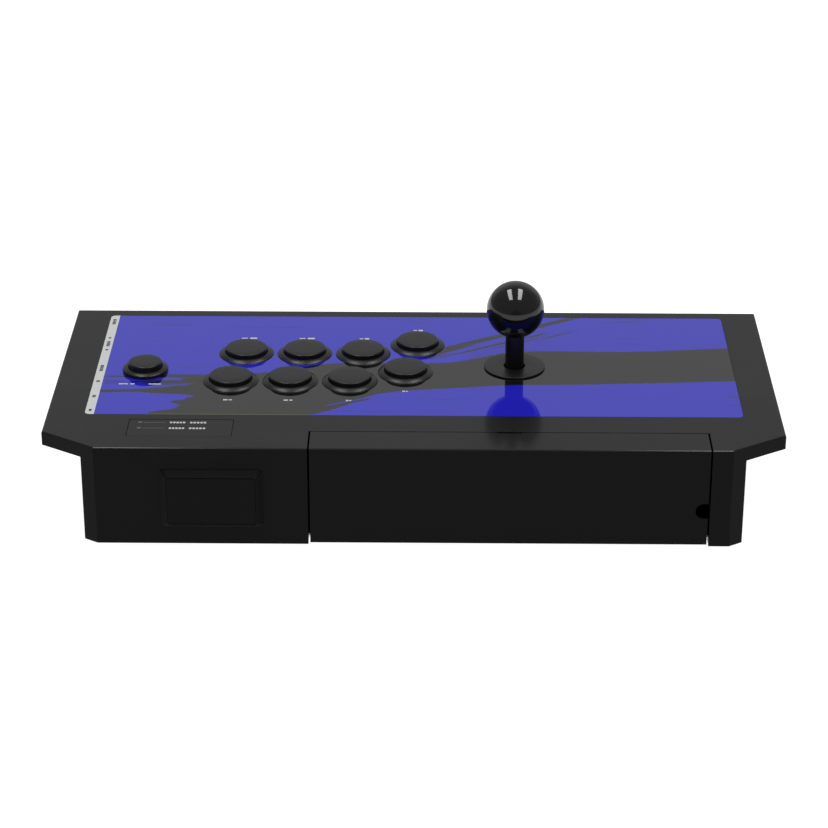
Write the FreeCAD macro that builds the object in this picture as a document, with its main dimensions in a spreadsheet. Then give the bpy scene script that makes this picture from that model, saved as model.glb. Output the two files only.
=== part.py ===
import FreeCAD, Part
import os
import re
import Sketcher

# Arcade joystick panel: a wide low console with a ball-top lever at the player's left,
# eight main push buttons and one small one, a row of small controls on the right-hand
# side, a touch pad on the rear face and a cable bay behind a bottom-hinged rear door.
#
# Axes: +X to the player's right, +Y to the rear, +Z up. The shapes are drawn in the case's
# own frame, whose XY origin is the middle of the top panel and whose Z origin is the
# underside of the case. Each piece's Placement then lifts it by the height of the feet and
# brings it forward by half of what the touch pad stands proud, so that the finished
# panel's origin is the bottom middle of its overall box.

DIMENSIONS = {
    # panel and case
    "panel_width": 432.4,
    "panel_depth": 197.8,
    "panel_top": 61.9,
    "panel_thick": 8.5,
    "panel_edge_round": 1.2,
    "panel_corner_round": 0.8,
    "corner_cut_x": 32.3,
    "corner_cut_y": 20.6,
    "panel_hollow": 3.5,
    "case_half_width": 192.0,
    "case_front_setback": 14.0,
    "case_corner_x": 8.1,
    "wall": 2.5,
    "base_thick": 2.5,
    "foot_height": 3.0,
    "foot_radius": 11.0,
    "foot_sink": 1.0,
    "foot_x": 150.0,
    "foot_front_y": 68.0,
    "foot_rear_y": 66.0,
    # artwork film and the steel plate under it
    "art_half_width": 193.9,
    "art_front": 89.8,
    "art_rear": 54.4,
    "art_corner": 3.0,
    "film_thick": 0.5,
    "steel_thick": 1.5,
    "ledge": 8.0,
    "art_gap": 0.2,
    # main buttons
    "button_pitch": 36.0,
    "row_pitch": 39.9,
    "row_shift": 7.0,
    "index_drop": 13.2,
    "first_button_x": -1.4,
    "second_button_x": 32.1,
    "lower_row_y": -32.8,
    "button_flange": 16.9,
    "button_ring_rise": 1.8,
    "button_ring_edge": 0.3,
    "button_cap": 12.75,
    "button_cap_rise": 4.6,
    "button_hole": 15.0,
    # the small button beside them
    "small_button_x": 164.0,
    "small_button_y": -7.1,
    "small_flange": 13.8,
    "small_cap": 10.1,
    "small_cap_rise": 6.5,
    "small_ring_rise": 3.0,
    "small_ring_edge": 1.9,
    "small_hole": 12.0,
    # lever
    "lever_x": -60.8,
    "lever_y": -15.2,
    "pivot_depth": 17.0,
    "ball_radius": 17.5,
    "ball_rise": 38.2,
    "shaft_radius": 4.75,
    "cover_radius": 5.7,
    "washer_radius": 18.6,
    "washer_thick": 1.0,
    "washer_gap": 0.8,
    "lever_hole": 12.5,
    "bush_radius": 9.0,
    "housing_size": 64.0,
    "actuator_radius": 8.5,
    # cable bay and its door
    "door_left": -170.9,
    "door_right": 59.8,
    "door_gap": 1.1,
    "door_lip": 22.7,
    "door_thick": 2.5,
    "door_bottom": 1.1,
    "hinge_height": 4.0,
    "hinge_inset": 4.4,
    "hinge_pin": 1.5,
    "bay_depth": 34.0,
    "bay_wall": 2.2,
    "slit_left": -62.9,
    "slit_right": -48.4,
    "notch_depth": 7.4,
    "notch_height": 22.8,
    "notch_radius": 4.9,
    "inlet_x": -148.0,
    "inlet_height": 30.0,
    "inlet_radius": 3.2,
    # touch pad on the rear face
    "pad_left": 86.8,
    "pad_right": 146.2,
    "pad_low": 10.9,
    "pad_high": 48.3,
    "pad_border": 3.8,
    "pad_proud": 4.2,
    "pad_sunk": 0.15,
    "pad_corner": 4.0,
    # indicator window
    "window_left": 105.6,
    "window_right": 166.3,
    "window_front": 61.3,
    "window_rear": 82.8,
    "window_thick": 1.2,
    "window_gap": 0.35,
    "window_corner": 0.8,
    "light_x": 159.9,
    "light_front_y": 65.1,
    "light_pitch": 7.6,
    "light_radius": 1.3,
    # side controls
    "side_front": -82.0,
    "side_rear": 58.0,
    "side_low": 19.0,
    "side_high": 41.0,
    "side_axis": 30.0,
    "side_button": 3.6,
    "share_y": -73.0,
    "mode_y": -46.0,
    "turbo_y": -10.0,
    "left_stick_y": 9.0,
    "right_stick_y": 30.0,
    "home_y": 49.0,
    # screw bosses of the lower case
    "boss_radius": 4.2,
    "boss_side_x": 170.0,
    "boss_front_y": -66.0,
    "boss_middle_y": 40.0,
    "boss_rear_x": 181.0,
    "boss_rear_y": 82.0,
    "boss_front_x": 70.0,
    "boss_edge_y": -74.0,
    "boss_pad_x": 74.0,
    "boss_pad_y": 88.0,
}

DOC = FreeCAD.newDocument("arcade_joystick_panel")
SHEET = DOC.addObject("Spreadsheet::Sheet", "dims")
for row, (alias, value) in enumerate(DIMENSIONS.items(), start=1):
    SHEET.set("A%d" % row, alias)
    SHEET.set("B%d" % row, str(value))
    SHEET.setAlias("B%d" % row, alias)
DOC.recompute()

PIECES = []
ALONG_X = FreeCAD.Rotation(FreeCAD.Vector(0, 1, 0), 90)
ALONG_Y = FreeCAD.Rotation(FreeCAD.Vector(1, 0, 0), -90)
TURNS = {"x": ALONG_X, "y": ALONG_Y, "z": FreeCAD.Rotation()}

# Levels and faces that many pieces share, written as expressions on the sheet.
REAR = "panel_depth / 2"
PANEL_UNDER = "panel_top - panel_thick"
STEEL_UNDER = "panel_top - film_thick - steel_thick"
PIVOT = "panel_top - pivot_depth"
HINGE_Y = "panel_depth / 2 - hinge_inset"
BAY_FRONT = "panel_depth / 2 - wall - bay_depth"
BAY_LEFT = "door_left - door_gap"
BAY_RIGHT = "door_right + door_gap"
BAY_REAR = "panel_depth / 2 - hinge_inset - 4.6"
CASE_FRONT = "case_front_setback - panel_depth / 2"


# ---- small helpers -----------------------------------------------------------------

def bound(expression):
    """The expression with every sheet alias given its full name."""
    def full(match):
        word = match.group()
        return "dims." + word if word in DIMENSIONS else word
    return re.sub(r"[a-z_]+", full, str(expression))


def number(expression):
    """The present value of an expression on the sheet."""
    return float(SHEET.evalExpression(bound(expression)))


def bind(item, **properties):
    for name, expression in properties.items():
        item.setExpression(name.replace("__", "."), bound(expression))


def put(item, x=0, y=0, z=0):
    """Bind an object's Placement to the sheet."""
    bind(item, Placement__Base__x=x, Placement__Base__y=y, Placement__Base__z=z)
    return item


def box(low, high):
    item = DOC.addObject("Part::Box", "box")
    length, width, height = ["(%s) - (%s)" % pair for pair in zip(high, low)]
    bind(item, Length=length, Width=width, Height=height)
    return put(item, *low)


def cylinder(radius, height, base=(0, 0, 0), along="z"):
    item = DOC.addObject("Part::Cylinder", "cylinder")
    item.Placement = FreeCAD.Placement(FreeCAD.Vector(), TURNS[along])
    bind(item, Radius=radius, Height=height)
    return put(item, *base)


def cone(radius_low, radius_high, height, base):
    item = DOC.addObject("Part::Cone", "cone")
    bind(item, Radius1=radius_low, Radius2=radius_high, Height=height)
    return put(item, *base)


def sphere(radius, centre):
    item = DOC.addObject("Part::Sphere", "sphere")
    bind(item, Radius=radius)
    return put(item, *centre)


def fuse(*items):
    item = DOC.addObject("Part::MultiFuse", "fuse")
    item.Shapes = list(items)
    return item


def cut(base, *tools):
    item = DOC.addObject("Part::Cut", "cut")
    item.Base = base
    item.Tool = tools[0] if len(tools) == 1 else fuse(*tools)
    return item


def sketch_on(body, role, points):
    """A closed outline whose corners are bound to the sheet."""
    sketch = body.newObject("Sketcher::SketchObject", "outline")
    plane = [item for item in body.Origin.OriginFeatures if item.Role == role][0]
    sketch.AttachmentSupport = [(plane, "")]
    sketch.MapMode = "FlatFace"
    places = [FreeCAD.Vector(number(x), number(y), 0) for x, y in points]
    count = len(points)
    for index in range(count):
        after = (index + 1) % count
        sketch.addGeometry(Part.LineSegment(places[index], places[after]))
    for index in range(count):
        after = (index + 1) % count
        sketch.addConstraint(Sketcher.Constraint("Coincident", index, 2, after, 1))
    for index, (x, y) in enumerate(points):
        place = places[index]
        for kind, value, expression in (("DistanceX", place.x, x), ("DistanceY", place.y, y)):
            number_of = sketch.addConstraint(Sketcher.Constraint(kind, index, 1, value))
            sketch.setExpression("Constraints[%d]" % number_of, bound(expression))
    return sketch


def plate(points, bottom, thickness):
    """A flat piece: its outline on the XY plane, padded upwards."""
    body = DOC.addObject("PartDesign::Body", "plate")
    sketch = sketch_on(body, "XY_Plane", points)
    bind(sketch, AttachmentOffset__Base__z=bottom)
    pad = body.newObject("PartDesign::Pad", "pad")
    pad.Profile = sketch
    bind(pad, Length=thickness)
    DOC.recompute()
    return body


def turned(profile):
    """A turned piece: a radius and height outline, spun about its own Z axis."""
    body = DOC.addObject("PartDesign::Body", "turned")
    sketch = sketch_on(body, "XZ_Plane", profile)
    spin = body.newObject("PartDesign::Revolution", "spin")
    spin.Profile = sketch
    spin.ReferenceAxis = (sketch, ["V_Axis"])
    spin.Angle = 360
    DOC.recompute()
    return body


def round_edges(body, radius, wanted):
    """A fillet on the body's edges that the test picks."""
    tip = body.Tip
    names = ["Edge%d" % (index + 1) for index, edge in enumerate(tip.Shape.Edges) if wanted(edge)]
    fillet = body.newObject("PartDesign::Fillet", "fillet")
    fillet.Base = (tip, names)
    bind(fillet, Radius=radius)
    DOC.recompute()
    return body


def is_upright(edge):
    return edge.BoundBox.ZLength > 0.2 and edge.BoundBox.XLength + edge.BoundBox.YLength < 0.01


def at_height(expression):
    level = number(expression)
    return lambda edge: edge.BoundBox.ZLength < 0.01 and abs(edge.BoundBox.ZMin - level) < 0.01


def copies(source, places):
    """One shape with a copy of the source's solids at each place."""
    DOC.recompute()
    item = DOC.addObject("Part::Feature", "group")
    shapes = []
    for x, y, z in places:
        shape = source.Shape.copy()
        shape.translate(FreeCAD.Vector(number(x), number(y), number(z)))
        shapes.append(shape)
    item.Shape = Part.makeCompound(shapes)
    return item


def piece(label, item, x="0", y="0", z="0"):
    """Name a finished sub-part and set it in the finished panel's frame."""
    item.Label = label
    put(item, x, "(%s) - pad_proud / 2" % y, "(%s) + foot_height" % z)
    PIECES.append(item)
    return item


def rectangle(left, front, right, rear):
    return [(left, front), (right, front), (right, rear), (left, rear)]


# ---- where the controls sit --------------------------------------------------------

def button_places():
    """Name and centre of each main button, the player's lower row first."""
    places = {}
    for row, rise, shift in (("lower", "0", "0"), ("upper", "row_pitch", "row_shift")):
        level = "lower_row_y + %s" % rise
        first = "first_button_x + %s" % shift
        places["%s_button_1" % row] = (first, level + " - index_drop")
        for index in range(3):
            across = "second_button_x + %s + %d * button_pitch" % (shift, index)
            places["%s_button_%d" % (row, index + 2)] = (across, level)
    return places


BUTTONS = button_places()
SIDE_CONTROLS = {
    "share_button": "share_y",
    "turbo_button": "turbo_y",
    "left_stick_button": "left_stick_y",
    "right_stick_button": "right_stick_y",
    "home_button": "home_y",
}
SIDE_SCREWS = [(side + "boss_side_x", y) for side in ("-", "") for y in ("boss_front_y", "boss_middle_y")]
CORNER_SCREWS = [(side + "boss_rear_x", "boss_rear_y") for side in ("-", "")]
FRONT_SCREWS = [(side + "boss_front_x", "boss_edge_y") for side in ("-", "")]
PAD_SCREW = ("boss_pad_x", "boss_pad_y")
CASE_SCREWS = SIDE_SCREWS + CORNER_SCREWS + FRONT_SCREWS + [PAD_SCREW]


# ---- case --------------------------------------------------------------------------

def make_top_shell():
    """Upper moulding: the wide panel with its sunk seat, door cut-out and screw bosses."""
    half = "panel_width / 2"
    outline = [("-(%s)" % half, "-(%s)" % REAR), (half, "-(%s)" % REAR),
               (half, "%s - corner_cut_y" % REAR), (half + " - corner_cut_x", REAR),
               ("corner_cut_x - " + half, REAR), ("-(%s)" % half, "%s - corner_cut_y" % REAR)]
    body = plate(outline, PANEL_UNDER, "panel_thick")
    round_edges(body, "panel_corner_round", is_upright)
    round_edges(body, "panel_edge_round", at_height("panel_top"))
    seat = plate(rectangle("-art_half_width - art_gap", "-art_front - art_gap",
                           "art_half_width + art_gap", "art_rear + art_gap"),
                 STEEL_UNDER, "film_thick + steel_thick + 1")
    round_edges(seat, "art_corner", is_upright)
    opening = box(("ledge - art_half_width", "ledge - art_front", "panel_top - panel_thick - 1"),
                  ("art_half_width - ledge", "art_rear - ledge", "panel_top + 1"))
    hollow = box(("-case_half_width + wall + 2", CASE_FRONT + " + wall + 2", "panel_top - panel_thick - 1"),
                 ("case_half_width - wall - 2", BAY_FRONT + " - bay_wall", PANEL_UNDER + " + panel_hollow"))
    door_room = box((BAY_LEFT, REAR + " - door_lip - 0.6", "0"), (BAY_RIGHT, REAR + " + 5", "panel_top + 5"))
    window = plate(rectangle("window_left - window_gap", "window_front - window_gap",
                             "window_right + window_gap", "window_rear + window_gap"),
                   "panel_top - window_thick", "window_thick + 1")
    round_edges(window, "window_corner", is_upright)
    wires = box(("window_left + 8", "window_front + 5", PANEL_UNDER + " - 1"),
                ("window_right - 8", "window_rear - 5", "panel_top + 1"))
    lights = box(("light_x - 3", "light_front_y - 2.6", PANEL_UNDER + " - 1"),
                 ("light_x + 3", "light_front_y + light_pitch + 2.6", "panel_top"))
    shell = cut(body, seat, opening, hollow, door_room, window, wires, lights)
    piece("top_shell", shell)


def case_outline(inset):
    """The lower case's plan, moved inwards by the inset; its rear corners follow the panel's."""
    side = "case_half_width - (%s)" % inset
    front = "%s + %s" % (CASE_FRONT, inset)
    rear = "%s - (%s)" % (REAR, inset)
    corner = "%s - case_corner_x" % side
    shoulder = "%s - case_corner_x * corner_cut_y / corner_cut_x" % rear
    return [("-(%s)" % side, front), (side, front), (side, shoulder), (corner, rear),
            ("-(%s)" % corner, rear), ("-(%s)" % side, shoulder)]


def screw_tools(radius, low, high):
    return [cylinder(radius, "(%s) - (%s)" % (high, low), (x, y, low)) for x, y in CASE_SCREWS]


def boss_ribs():
    """Low ribs that tie each boss to the wall beside it."""
    low, high = "base_thick", "17"
    ribs = []
    for x, y in SIDE_SCREWS + CORNER_SCREWS:
        ends = ("-case_half_width + 1", x) if x.startswith("-") else (x, "case_half_width - 1")
        ribs.append(box((ends[0], y + " - 1.2", low), (ends[1], y + " + 1.2", high)))
    for x, y in FRONT_SCREWS:
        ribs.append(box((x + " - 1.2", CASE_FRONT + " + 1", low), (x + " + 1.2", y, high)))
    x, y = PAD_SCREW
    ribs.append(box((x + " - 1.2", y, low), (x + " + 1.2", REAR + " - 1", high)))
    return ribs


def make_lower_case():
    """Lower moulding: the walls under the panel, with bosses for the base screws."""
    outer = plate(case_outline("0"), "0", PANEL_UNDER)
    round_edges(outer, "panel_corner_round", is_upright)
    inner = plate(case_outline("wall"), "-1", PANEL_UNDER + " + 2")
    walls = cut(outer, inner)
    bosses = screw_tools("boss_radius", "base_thick", "22")
    solid = fuse(walls, *(bosses + boss_ribs()))
    door_room = box((BAY_LEFT, REAR + " - wall - 0.5", "-1"), (BAY_RIGHT, REAR + " + 1", "panel_top"))
    pad_room = box(("pad_left + 1.5", REAR + " - wall - 1", "pad_low + 1.5"),
                   ("pad_right - 1.5", REAR + " + 1", "pad_high - 1.5"))
    side_room = box(("case_half_width - wall - 1", "side_front + 2", "side_low + 2"),
                    ("case_half_width + 1", "side_rear - 2", "side_high - 2"))
    pilots = screw_tools("1.4", "base_thick - 1", "18")
    piece("lower_case", cut(solid, door_room, pad_room, side_room, *pilots))


def make_base_cover():
    """Flat bottom cover, cut away at the rear so that the door's foot can swing."""
    floor = plate(case_outline("wall + 0.3"), "0", "base_thick")
    hinge_room = box((BAY_LEFT + " - bay_wall", BAY_REAR, "-1"), (BAY_RIGHT + " + bay_wall", REAR, "5"))
    holes = screw_tools("1.7", "-1", "5")
    recesses = screw_tools("4.0", "-1", "1.3")
    sinks = [cylinder("foot_radius + 0.1", "foot_sink + 1", (x, y, "-1")) for x, y in feet_places()]
    piece("base_cover", cut(floor, hinge_room, *(holes + recesses + sinks)))


def feet_places():
    return [(x, y) for x in ("-foot_x", "foot_x") for y in ("-foot_front_y", "foot_rear_y")]


def make_feet():
    """Four round rubber feet, stuck into sinks in the base."""
    foot = turned([("0", "-foot_height"), ("foot_radius - 1", "-foot_height"),
                   ("foot_radius", "-foot_height + 1"), ("foot_radius", "foot_sink"), ("0", "foot_sink")])
    piece("rubber_feet", copies(foot, [(x, y, "0") for x, y in feet_places()]))


def make_base_screws():
    """Pan-head screws that hold the base to the bosses."""
    head = cylinder("3.6", "1.2", ("0", "0", "0.1"))
    shank = cylinder("1.38", "16", ("0", "0", "1"))
    cross = [box(("-2", "-0.4", "-0.1"), ("2", "0.4", "0.7")),
             box(("-0.4", "-2", "-0.1"), ("0.4", "2", "0.7"))]
    screw = cut(fuse(head, shank), *cross)
    piece("base_screws", copies(screw, [(x, y, "0") for x, y in CASE_SCREWS]))


def panel_holes(low, high, ease):
    """Cutting tools for the lever's and the buttons' holes in the plate or the film."""
    height = "(%s) - (%s)" % (high, low)
    holes = [cylinder("button_hole + %s" % ease, height, (x, y, low)) for x, y in BUTTONS.values()]
    holes.append(cylinder("small_hole + %s" % ease, height, ("small_button_x", "small_button_y", low)))
    holes.append(cylinder("lever_hole + %s" % ease, height, ("lever_x", "lever_y", low)))
    return holes


def make_control_plate():
    """Steel plate that carries the lever and the buttons."""
    body = plate(rectangle("-art_half_width", "-art_front", "art_half_width", "art_rear"),
                 STEEL_UNDER, "steel_thick")
    round_edges(body, "art_corner", is_upright)
    bolts = [cylinder("2.1", "steel_thick + 2", (x, y, STEEL_UNDER + " - 1")) for x, y in lever_bolts()]
    tools = panel_holes(STEEL_UNDER + " - 1", "panel_top", "0") + bolts
    piece("control_plate", cut(body, *tools))


def make_artwork():
    """Glossy printed film on the steel plate, flush with the panel around it."""
    body = plate(rectangle("-art_half_width", "-art_front", "art_half_width", "art_rear"),
                 "panel_top - film_thick", "film_thick")
    round_edges(body, "art_corner", is_upright)
    piece("artwork_sheet", cut(body, *panel_holes("panel_top - film_thick - 1", "panel_top + 1", "0.2")))


# ---- cable bay ---------------------------------------------------------------------

def make_cable_bin():
    """Bin behind the door: its floor and its front wall, which has the lead's inlet."""
    low = "base_thick + 0.5"
    left, right = BAY_LEFT + " - bay_wall", BAY_RIGHT + " + bay_wall"
    floor = box((left, BAY_FRONT + " - bay_wall", low), (right, BAY_REAR, low + " + bay_wall"))
    front = box((left, BAY_FRONT + " - bay_wall", low), (right, BAY_FRONT, PANEL_UNDER))
    inlet = cylinder("inlet_radius + 2.3", "10", ("inlet_x", BAY_FRONT + " - 6", "inlet_height"), "y")
    piece("cable_bin", cut(fuse(floor, front), inlet))


def make_bay_cheeks():
    """The bin's two end walls, which hold the hinge pins."""
    pins = cylinder("hinge_pin + 0.05", "300", (BAY_LEFT + " - 20", HINGE_Y, "hinge_height"), "x")
    cheeks = []
    for inner, outer in ((BAY_LEFT, BAY_LEFT + " - bay_wall"), (BAY_RIGHT, BAY_RIGHT + " + bay_wall")):
        low, high = (outer, inner) if inner == BAY_LEFT else (inner, outer)
        cheeks.append(box((low, BAY_FRONT, "base_thick + 0.5 + bay_wall"), (high, BAY_REAR, PANEL_UNDER)))
        cheeks.append(box((low, BAY_REAR, "0.6"), (high, REAR + " - wall", PANEL_UNDER)))
    piece("bay_cheeks", cut(fuse(*cheeks), pins))


def make_grommet():
    """Rubber grommet where a lead would come through the bin's front wall."""
    sleeve = cylinder("inlet_radius + 2.2", "bay_wall + 0.2", ("0", "-0.1", "0"), "y")
    lips = [cylinder("inlet_radius + 4.3", "1.6", ("0", "-1.65", "0"), "y"),
            cylinder("inlet_radius + 4.3", "1.6", ("0", "bay_wall + 0.05", "0"), "y")]
    bore = cylinder("inlet_radius", "20", ("0", "-10", "0"), "y")
    piece("cable_grommet", cut(fuse(sleeve, *lips), bore), "inlet_x", BAY_FRONT + " - bay_wall",
          "inlet_height")


def make_latch_catch():
    """Catch under the panel's edge that the door's tongue clicks past."""
    block = box(("slit_left", REAR + " - door_lip - 8", PANEL_UNDER + " - 5"),
                ("slit_right", REAR + " - door_lip - 1.6", PANEL_UNDER))
    nose = box(("slit_left + 2", REAR + " - door_lip - 2", PANEL_UNDER + " - 4"),
               ("slit_right - 2", REAR + " - door_lip - 0.6", PANEL_UNDER + " - 2"))
    piece("latch_catch", fuse(block, nose))


def make_door():
    """L-shaped door: rear face and top lip in one, hinged along its foot."""
    inner = REAR + " - door_thick"
    face = box(("door_left", inner, "door_bottom"), ("door_right", REAR, "panel_top"))
    lip = box(("door_left", REAR + " - door_lip", "panel_top - door_thick"),
              ("door_right", REAR, "panel_top"))
    rim = box(("door_left", REAR + " - 6", "panel_top - 6"), ("door_right", REAR, "panel_top"))
    foot = box(("door_left", HINGE_Y, "hinge_height - 2.6"), ("door_right", REAR, "hinge_height + 2.6"))
    barrel = cylinder("2.6", "door_right - door_left", ("door_left", HINGE_Y, "hinge_height"), "x")
    gussets = [box((left, REAR + " - door_lip + 4", "panel_top - 12"), (right, REAR, "panel_top - 1"))
               for left, right in (("door_left", "door_left + 2"), ("door_right - 2", "door_right"))]
    tongue = box(("slit_left + 1", REAR + " - door_lip + 1.2", PANEL_UNDER + " - 4.5"),
                 ("slit_right - 1", REAR + " - door_lip + 3", "panel_top - 1"))
    slit = box(("slit_left", REAR + " - door_lip - 1", "panel_top - 4"),
               ("slit_right", REAR + " - door_lip + 1", "panel_top + 1"))
    notch = [cylinder("notch_radius", "20", ("door_left + notch_depth - notch_radius", REAR + " - 15",
                                             "notch_height"), "y"),
             box(("door_left - 5", REAR + " - 15", "notch_height - notch_radius"),
                 ("door_left + notch_depth - notch_radius", REAR + " + 5", "notch_height + notch_radius"))]
    pins = cylinder("hinge_pin", "400", ("door_left - 10", HINGE_Y, "hinge_height"), "x")
    shape = cut(fuse(face, lip, rim, foot, barrel, tongue, *gussets), slit, pins, *notch)
    piece("cable_door", eased(shape, door_edge_rounds(shape)))


def door_edge_rounds(shape):
    """The radius of each outer edge of the door: the top rear one is as round as the panel's."""
    DOC.recompute()
    rear, top = number(REAR), number("panel_top")
    rounds = []
    for index, edge in enumerate(shape.Shape.Edges, start=1):
        room = edge.BoundBox
        on_rear = abs(room.YMin - rear) + abs(room.YMax - rear) < 0.01
        on_top = abs(room.ZMin - top) + abs(room.ZMax - top) < 0.01
        if on_rear and on_top:
            rounds.append((index, "panel_edge_round"))
    return rounds


def eased(shape, rounds):
    """A fillet on the numbered edges, each with its radius."""
    item = DOC.addObject("Part::Fillet", "eased")
    item.Base = shape
    item.Edges = [(index, number(radius), number(radius)) for index, radius in rounds]
    DOC.recompute()
    return item


def make_hinge_pins():
    """Two steel pins, fixed in the door's foot and turning in the bin's cheeks."""
    reach = "door_gap + bay_wall"
    left = cylinder("hinge_pin", reach + " + 12", (BAY_LEFT + " - bay_wall", HINGE_Y, "hinge_height"), "x")
    right = cylinder("hinge_pin", reach + " + 12", ("door_right - 12", HINGE_Y, "hinge_height"), "x")
    pair = DOC.addObject("Part::Compound", "pair")
    pair.Links = [left, right]
    piece("door_hinge_pins", pair)


# ---- touch pad and indicator window ------------------------------------------------

def wedge(low, high, border):
    """A rectangle on the rear face that narrows by the border towards +Y."""
    item = DOC.addObject("Part::Wedge", "wedge")
    bind(item, Xmin=low[0], Xmax=high[0], Zmin=low[2], Zmax=high[2], Ymin=low[1], Ymax=high[1],
         X2min="%s + %s" % (low[0], border), X2max="%s - %s" % (high[0], border),
         Z2min="%s + %s" % (low[2], border), Z2max="%s - %s" % (high[2], border))
    return item


def rounded_block(low, high, radius, along="y"):
    """A block whose four edges along the given axis are rounded."""
    block = box(low, high)
    DOC.recompute()
    rounds = []
    for index, edge in enumerate(block.Shape.Edges, start=1):
        room = edge.BoundBox
        if (room.XLength if along == "x" else room.YLength) > 0.95 * edge.Length and room.ZLength < 0.01:
            rounds.append((index, radius))
    return eased(block, rounds)


def make_touchpad():
    """Touch pad: bevelled frame, sprung pad and the board behind it."""
    slope = wedge(("pad_left", REAR + " + 0.3", "pad_low"), ("pad_right", REAR + " + pad_proud", "pad_high"),
                  "pad_border - 0.6")
    DOC.recompute()
    bevel = DOC.addObject("Part::Fillet", "bevel")
    bevel.Base = slope
    bevel.Edges = [(index + 1, number("pad_corner"), 1.2) for index, edge in enumerate(slope.Shape.Edges)
                   if edge.BoundBox.YLength > 0.5]
    skirt = rounded_block(("pad_left", REAR, "pad_low"), ("pad_right", REAR + " + 0.3", "pad_high"),
                          "pad_corner")
    plug = rounded_block(("pad_left + 1.8", REAR + " - wall - 2", "pad_low + 1.8"),
                         ("pad_right - 1.8", REAR + " + 0.1", "pad_high - 1.8"), "2.5")
    hole = rounded_block(("pad_left + pad_border", REAR + " - 20", "pad_low + pad_border"),
                         ("pad_right - pad_border", REAR + " + 20", "pad_high - pad_border"), "2.0")
    piece("touchpad_frame", cut(fuse(bevel, skirt, plug), hole))
    pad = rounded_block(("pad_left + pad_border + 0.25", REAR + " - 2", "pad_low + pad_border + 0.25"),
                        ("pad_right - pad_border - 0.25", REAR + " + pad_proud - pad_sunk",
                         "pad_high - pad_border - 0.25"), "1.8")
    piece("touchpad", pad)
    board = box(("pad_left + 2", REAR + " - wall - 4.6", "pad_low + 2"),
                ("pad_right - 2", REAR + " - wall - 3", "pad_high - 2"))
    posts = [box((x, REAR + " - wall - 3", z), (x + " + 2.2", REAR + " - wall - 2", z + " + 2.2"))
             for x in ("pad_left + 2", "pad_right - 4.2") for z in ("pad_low + 2", "pad_high - 4.2")]
    piece("touchpad_board", fuse(board, *posts))


def make_window():
    """Indicator window inlaid in the panel, with two light pipes."""
    body = plate(rectangle("window_left", "window_front", "window_right", "window_rear"),
                 "panel_top - window_thick", "window_thick - 0.1")
    round_edges(body, "window_corner", is_upright)
    centres = [("light_x", "light_front_y + %d * light_pitch" % index) for index in range(2)]
    holes = [cylinder("light_radius + 0.05", "6", (x, y, "panel_top - 4")) for x, y in centres]
    piece("indicator_window", cut(body, *holes))
    pipe = turned([("0", "-5"), ("2", "-5"), ("2", "-window_thick - 1.2"),
                   ("light_radius", "-window_thick - 1.2"), ("light_radius", "0"), ("0", "0")])
    piece("indicator_lights", copies(pipe, [(x, y, "panel_top") for x, y in centres]))


# ---- side controls -----------------------------------------------------------------

def make_side_panel():
    """Control strip on the right-hand side, its buttons, slider and board."""
    face = "case_half_width + 0.6"
    body = box(("case_half_width - wall", "side_front + 2.2", "side_low + 2.2"),
               (face, "side_rear - 2.2", "side_high - 2.2"))
    flange = rounded_block(("case_half_width", "side_front", "side_low"), (face, "side_rear", "side_high"),
                           "4.0", "x")
    holes = [cylinder("side_button + 0.15", "20", ("case_half_width - 10", y, "side_axis"), "x")
             for y in SIDE_CONTROLS.values()]
    slot = box(("case_half_width - 10", "mode_y - 6", "side_axis - 1.6"),
               ("case_half_width + 10", "mode_y + 6", "side_axis + 1.6"))
    piece("side_panel", cut(fuse(body, flange), slot, *holes))
    for label, y in SIDE_CONTROLS.items():
        button = turned([("0", "-7"), ("2", "-7"), ("2", "-4.5"), ("side_button + 0.9", "-4.5"),
                         ("side_button + 0.9", "-3.4"), ("side_button", "-3.4"), ("side_button", "1.8"),
                         ("side_button - 0.4", "2.2"), ("0", "2.2")])
        holder = DOC.addObject("Part::Compound", "turned_sideways")
        holder.Links = [button]
        button.Placement = FreeCAD.Placement(FreeCAD.Vector(), ALONG_X)
        piece(label, holder, "case_half_width", y, "side_axis")
    stem = box(("-7", "-1.4", "-1.4"), ("1", "1.4", "1.4"))
    knob = box(("-0.6", "-2.2", "-1.4"), ("2.4", "2.2", "1.4"))
    grooves = [box(("2", y, "-2"), ("3", y + " + 0.4", "2")) for y in ("-1.4", "-0.2", "1")]
    shoe = box(("-4.6", "-7.5", "-2.6"), ("-3.3", "7.5", "2.6"))
    piece("mode_switch_knob", cut(fuse(stem, knob, shoe), *grooves),
          "case_half_width", "mode_y", "side_axis")
    board = box(("case_half_width - 14.6", "side_front + 3", "side_low + 3"),
                ("case_half_width - 13", "side_rear - 3", "side_high - 3"))
    switches = [box(("case_half_width - 13.1", y + " - 3", "side_axis - 3"),
                    ("case_half_width - 8.6", y + " + 3", "side_axis + 3")) for y in SIDE_CONTROLS.values()]
    slider = box(("case_half_width - 13.1", "mode_y - 6", "side_axis - 3"),
                 ("case_half_width - 7.4", "mode_y + 6", "side_axis + 3"))
    piece("side_board", fuse(board, slider, *switches))


# ---- push buttons ------------------------------------------------------------------

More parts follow.
